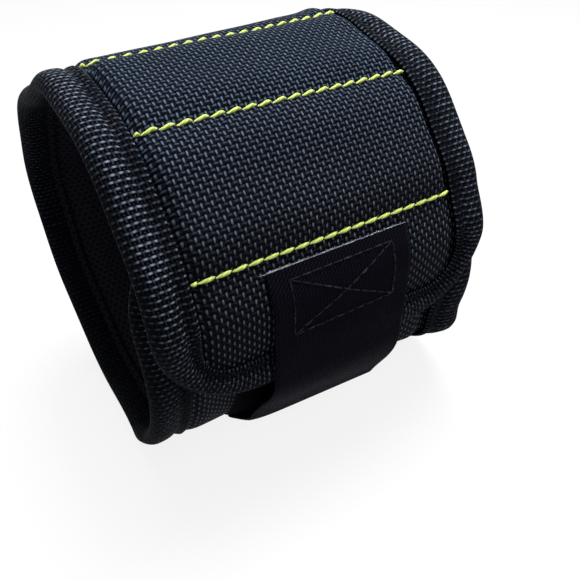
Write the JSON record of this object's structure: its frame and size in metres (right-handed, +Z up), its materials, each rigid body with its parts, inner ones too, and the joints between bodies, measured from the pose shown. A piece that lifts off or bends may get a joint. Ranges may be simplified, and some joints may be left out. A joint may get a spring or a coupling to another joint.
{
  "type": "magnetic wristband",
  "caption": "Padded fabric wristband with sewn magnet pockets that hold small steel fasteners, a bound edge, and a hook strap that closes on a loop panel.",
  "frame": {"origin": "the middle of the closed band's footprint, on the surface that it lies on", "axes": "+X along the axis of the closed tube, +Y from the strap side to the back, +Z up"},
  "size_m": [0.09, 0.095, 0.0961],
  "materials": {
    "shell_nylon": "coarse woven nylon with a slight sheen",
    "binding_tape": "ribbed woven tape",
    "mesh_lining": "matte spacer mesh",
    "loop_pile": "soft brushed loops",
    "strap_weave": "matte fine weave",
    "hook_tape": "fine stiff hooks",
    "seam_thread": "thick twisted thread",
    "box_thread": "thin twisted thread",
    "magnet_plating": "nickel plating"
  },
  "bodies": {
    "loop_base": {"shell_loop_base": "shell_nylon", "lining_loop_base": "mesh_lining", "binding_left_loop_base": "binding_tape", "binding_right_loop_base": "binding_tape", "pile_loop_base": "loop_pile"},
    "loop_back": {"shell_loop_back": "shell_nylon", "lining_loop_back": "mesh_lining", "binding_left_loop_back": "binding_tape", "binding_right_loop_back": "binding_tape", "pile_loop_back": "loop_pile"},
    "pocket_5": {"shell_pocket_5": "shell_nylon", "lining_pocket_5": "mesh_lining", "binding_left_pocket_5": "binding_tape", "binding_right_pocket_5": "binding_tape", "magnet_pocket_5": "magnet_plating", "seam_6": "seam_thread"},
    "pocket_4": {"shell_pocket_4": "shell_nylon", "lining_pocket_4": "mesh_lining", "binding_left_pocket_4": "binding_tape", "binding_right_pocket_4": "binding_tape", "magnet_pocket_4": "magnet_plating", "seam_5": "seam_thread"},
    "pocket_3": {"shell_pocket_3": "shell_nylon", "lining_pocket_3": "mesh_lining", "binding_left_pocket_3": "binding_tape", "binding_right_pocket_3": "binding_tape", "magnet_pocket_3": "magnet_plating", "seam_4": "seam_thread"},
    "pocket_2": {"shell_pocket_2": "shell_nylon", "lining_pocket_2": "mesh_lining", "binding_left_pocket_2": "binding_tape", "binding_right_pocket_2": "binding_tape", "magnet_pocket_2": "magnet_plating", "seam_3": "seam_thread"},
    "pocket_1": {"shell_pocket_1": "shell_nylon", "lining_pocket_1": "mesh_lining", "binding_left_pocket_1": "binding_tape", "binding_right_pocket_1": "binding_tape", "magnet_pocket_1": "magnet_plating", "seam_2": "seam_thread"},
    "strap_end": {"shell_strap_end": "shell_nylon", "lining_strap_end": "mesh_lining", "binding_strap_end": "binding_tape", "seam_1": "seam_thread", "strap_anchor": "strap_weave", "strap_box_stitch": "box_thread"},
    "strap": {"strap_free": "strap_weave", "strap_hooks": "hook_tape"},
    "loop_front": {"shell_loop_front": "shell_nylon", "lining_loop_front": "mesh_lining", "binding_left_loop_front": "binding_tape", "binding_right_loop_front": "binding_tape", "pile_loop_front": "loop_pile"},
    "loop_tip": {"shell_loop_tip": "shell_nylon", "lining_loop_tip": "mesh_lining", "binding_loop_tip": "binding_tape", "pile_loop_tip": "loop_pile"}
  },
  "joints": [
    {"name": "band_unwrap", "type": "hinge", "parent": "loop_base", "child": "loop_back", "pos_m": [0, 0.00955, 0.001], "axis": [-1, 0, 0], "range_deg": [0, 38]},
    {"name": "seam_6_crease", "type": "hinge", "parent": "loop_back", "child": "pocket_5", "pos_m": [0, 0.03871, 0.02378], "axis": [-1, 0, 0], "range_deg": [0, 36]},
    {"name": "seam_5_crease", "type": "hinge", "parent": "pocket_5", "child": "pocket_4", "pos_m": [0, 0.0473, 0.05377], "axis": [-1, 0, 0], "range_deg": [0, 46]},
    {"name": "seam_4_crease", "type": "hinge", "parent": "pocket_4", "child": "pocket_3", "pos_m": [0, 0.0317, 0.08079], "axis": [-1, 0, 0], "range_deg": [0, 31]},
    {"name": "seam_3_crease", "type": "hinge", "parent": "pocket_3", "child": "pocket_2", "pos_m": [0, 0.00442, 0.09592], "axis": [-1, 0, 0], "range_deg": [0, 43]},
    {"name": "seam_2_crease", "type": "hinge", "parent": "pocket_2", "child": "pocket_1", "pos_m": [0, -0.02586, 0.08837], "axis": [-1, 0, 0], "range_deg": [0, 36]},
    {"name": "seam_1_crease", "type": "hinge", "parent": "pocket_1", "child": "strap_end", "pos_m": [0, -0.04591, 0.06447], "axis": [-1, 0, 0], "range_deg": [0, 43]},
    {"name": "front_fold_crease", "type": "hinge", "parent": "loop_base", "child": "loop_front", "pos_m": [0, -0.02745, 0.001], "axis": [1, 0, 0], "range_deg": [0, 72]},
    {"name": "tip_fold_crease", "type": "hinge", "parent": "loop_front", "child": "loop_tip", "pos_m": [0, -0.03734, 0.03143], "axis": [1, 0, 0], "range_deg": [0, 30]},
    {"name": "strap_peel", "type": "hinge", "parent": "strap_end", "child": "strap", "pos_m": [0, -0.04537, 0.02925], "axis": [-1, 0, 0], "range_deg": [0, 75]}
  ],
  "couplings": [
    {"joint": "seam_6_crease", "follows": "band_unwrap", "ratio": 0.94737},
    {"joint": "seam_5_crease", "follows": "band_unwrap", "ratio": 1.2105},
    {"joint": "seam_4_crease", "follows": "band_unwrap", "ratio": 0.81579},
    {"joint": "seam_3_crease", "follows": "band_unwrap", "ratio": 1.1316},
    {"joint": "seam_2_crease", "follows": "band_unwrap", "ratio": 0.94737},
    {"joint": "seam_1_crease", "follows": "band_unwrap", "ratio": 1.1316},
    {"joint": "front_fold_crease", "follows": "band_unwrap", "ratio": 1.8947},
    {"joint": "tip_fold_crease", "follows": "band_unwrap", "ratio": 0.78947}
  ]
}
